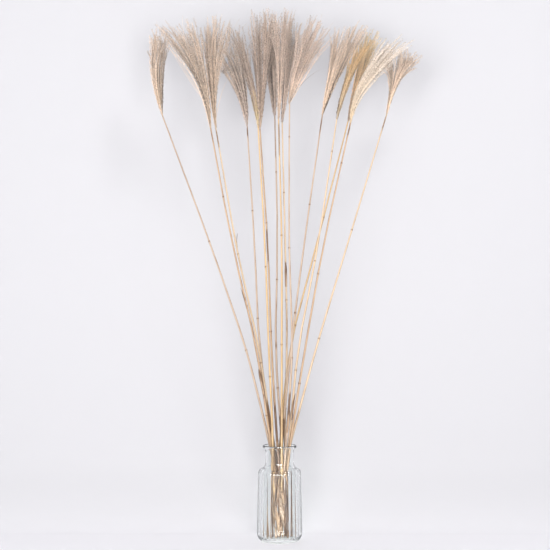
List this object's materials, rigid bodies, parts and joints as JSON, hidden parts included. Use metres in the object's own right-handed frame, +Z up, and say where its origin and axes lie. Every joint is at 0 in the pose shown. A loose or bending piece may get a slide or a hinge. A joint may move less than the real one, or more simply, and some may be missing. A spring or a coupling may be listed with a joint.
{
  "type": "dried miscanthus plumes in a ribbed glass vase",
  "caption": "Fan of dried miscanthus stems with feathery beige and golden plumes, standing in a small ribbed clear glass vase.",
  "frame": {"origin": "centre of the vase's flat base, on the surface that it stands on", "axes": "+Z up along the vase's axis; +X to the right across the wide fan of stems; +Y away from the front view, through the fan's depth"},
  "size_m": [0.506, 0.1807, 1.0019],
  "materials": {
    "glass": "clear soda glass, faintly grey-green, polished, with upright flutes",
    "straw": "dry straw culm, satin, with darker joints and brown streaks",
    "plume_beige": "dry silky hairs, greyish beige, matt",
    "plume_grey": "dry silky hairs, brownish grey, matt",
    "plume_golden": "dry silky hairs, golden straw, matt"
  },
  "bodies": {
    "root": {"vase": "glass", "stem_01": "straw", "stem_02": "straw", "stem_03": "straw", "stem_04": "straw", "stem_05": "straw", "stem_06": "straw", "stem_07": "straw", "stem_08": "straw", "stem_09": "straw", "stem_10": "straw", "stem_11": "straw", "stem_12": "straw", "stem_13": "straw", "stem_14": "straw", "stem_15": "straw", "plume_01": "plume_beige", "plume_02": "plume_beige", "plume_03": "plume_beige", "plume_04": "plume_grey", "plume_05": "plume_golden", "plume_06": "plume_beige", "plume_07": "plume_grey", "plume_08": "plume_beige", "plume_09": "plume_grey", "plume_10": "plume_beige", "plume_11": "plume_beige", "plume_12": "plume_golden", "plume_13": "plume_golden", "plume_14": "plume_golden", "plume_15": "plume_beige"}
  },
  "joints": []
}
